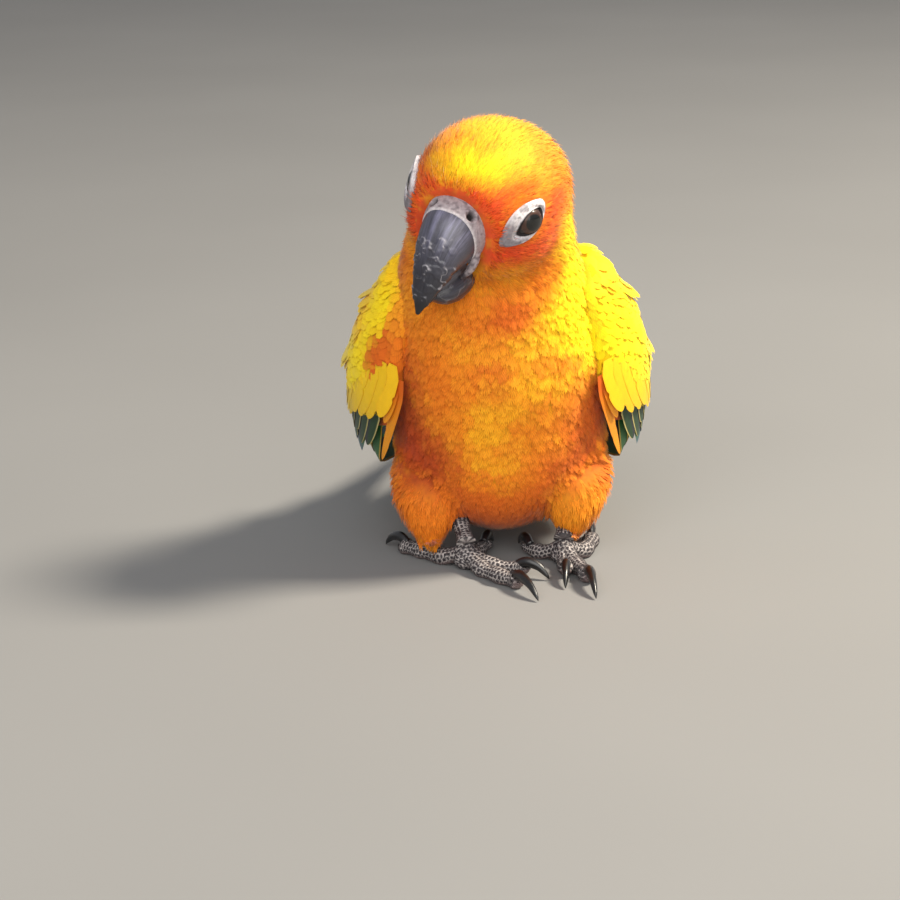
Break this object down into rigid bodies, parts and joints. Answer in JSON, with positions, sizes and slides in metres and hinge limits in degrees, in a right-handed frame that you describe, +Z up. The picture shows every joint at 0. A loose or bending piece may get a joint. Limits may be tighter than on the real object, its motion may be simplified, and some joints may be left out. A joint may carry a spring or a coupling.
{
  "type": "sun conure",
  "caption": "Life-size sun conure parrot standing on a flat floor with folded wings, long tail behind it and its head turned to its right.",
  "frame": {"origin": "middle of the bird's outer box at floor level, under the rump between the folded wings", "axes": "+X to the bird's left, +Y from breast to tail tip, +Z up from the floor"},
  "size_m": [0.0776, 0.1938, 0.1109],
  "materials": {
    "head_plumage": "short soft feathers, yellow crown, orange-red face",
    "neck_plumage": "short soft feathers, golden with orange-red blotches",
    "breast_plumage": "soft layered feathers, golden orange",
    "flank_plumage": "soft layered feathers, deep orange",
    "wing_plumage": "smooth vanes, yellow coverts over green and blue flight feathers",
    "tail_plumage": "smooth long vanes, olive green with blue tips",
    "bare_skin": "fine matt grey-white bare skin",
    "bill_horn": "dark slate horn, satin, slightly flaking",
    "eye": "wet gloss, dark brown iris and black pupil",
    "foot_scale": "small grey scales with pale edges",
    "claw_horn": "glossy black horn"
  },
  "bodies": {
    "root": {"head": "head_plumage", "neck": "neck_plumage", "torso": "breast_plumage", "thigh_left": "flank_plumage", "thigh_right": "flank_plumage", "wing_left": "wing_plumage", "wing_right": "wing_plumage", "tail": "tail_plumage", "cere": "bare_skin", "eye_ring_left": "bare_skin", "eye_ring_right": "bare_skin", "upper_bill": "bill_horn", "lower_bill": "bill_horn", "eye_left": "eye", "eye_right": "eye", "shank_left": "foot_scale", "shank_right": "foot_scale", "foot_left": "foot_scale", "foot_right": "foot_scale", "claw_right_inner_front": "claw_horn", "claw_right_outer_front": "claw_horn", "claw_right_outer_rear": "claw_horn", "claw_right_inner_rear": "claw_horn", "claw_left_inner_front": "claw_horn", "claw_left_outer_front": "claw_horn", "claw_left_outer_rear": "claw_horn", "claw_left_inner_rear": "claw_horn"}
  },
  "joints": []
}
